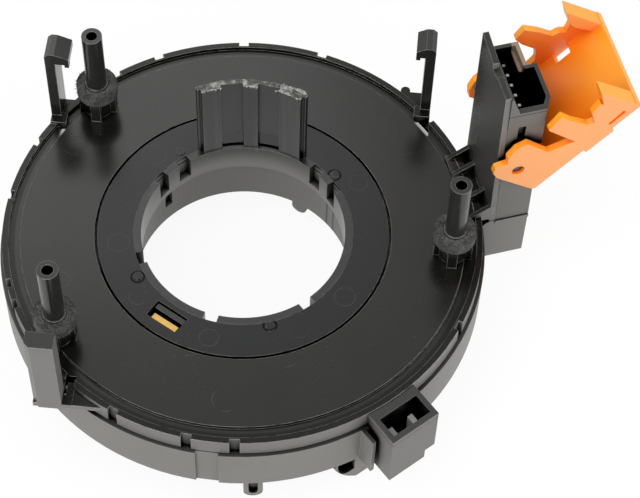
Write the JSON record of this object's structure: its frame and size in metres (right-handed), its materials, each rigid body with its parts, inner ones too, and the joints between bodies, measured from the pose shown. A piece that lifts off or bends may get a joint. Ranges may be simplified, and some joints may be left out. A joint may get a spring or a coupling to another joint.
{
  "type": "steering clock spring",
  "caption": "Round steering-column clock spring: a flat drum with a turning hub and half collar, posts, snap hooks and a connector tower with a hinged lock lever.",
  "frame": {"origin": "on the bore's axis, level with the drum's wheel-side face", "axes": "+Z along the steering column towards the posts and the cover plate; +X out through the connector tower; +Y completes the frame"},
  "size_m": [0.1384, 0.1132, 0.0713],
  "materials": {
    "case_black": "black moulded plastic, polished and lightly worn",
    "cover_black": "black moulded plastic, polished and lightly worn",
    "ring_black": "black acetal, polished",
    "housing_black": "black moulded plastic, satin",
    "washer_grey": "grey-black, fibrous",
    "lever_orange": "orange moulded plastic, satin",
    "tinned": "tinned contact metal",
    "brass": "plain brass strip",
    "ribbon": "flat polyester ribbon with copper tracks",
    "slip_sheet": "white low-friction sheet"
  },
  "bodies": {
    "stator": {"outer_case": "case_black", "back_cover": "cover_black", "post_washer_1": "washer_grey", "post_washer_2": "washer_grey", "post_washer_3": "washer_grey", "connector_housing": "housing_black", "main_pins": "tinned", "outer_lead_block": "housing_black", "two_pin_connector": "housing_black", "two_pin_blades": "tinned", "flat_cable": "ribbon", "upper_slip_sheet": "slip_sheet"},
    "rotor": {"rotor_hub": "ring_black", "rotor_ring": "ring_black", "rotor_front": "ring_black", "inner_lead_block": "housing_black", "inner_terminal": "brass", "wheel_connector": "housing_black", "wheel_pins": "tinned", "squib_connector": "housing_black", "squib_pins": "tinned", "lower_slip_sheet": "slip_sheet"},
    "lever": {"lock_lever": "lever_orange"}
  },
  "joints": [
    {"name": "rotor_spin", "type": "hinge", "parent": "stator", "child": "rotor", "pos_m": [0, 0, 0], "axis": [0, 0, 1], "range_deg": [-900, 900]},
    {"name": "lever_lock", "type": "hinge", "parent": "stator", "child": "lever", "pos_m": [0.0585, 0, 0.0352], "axis": [0, -1, 0], "range_deg": [0, 42.2]}
  ]
}
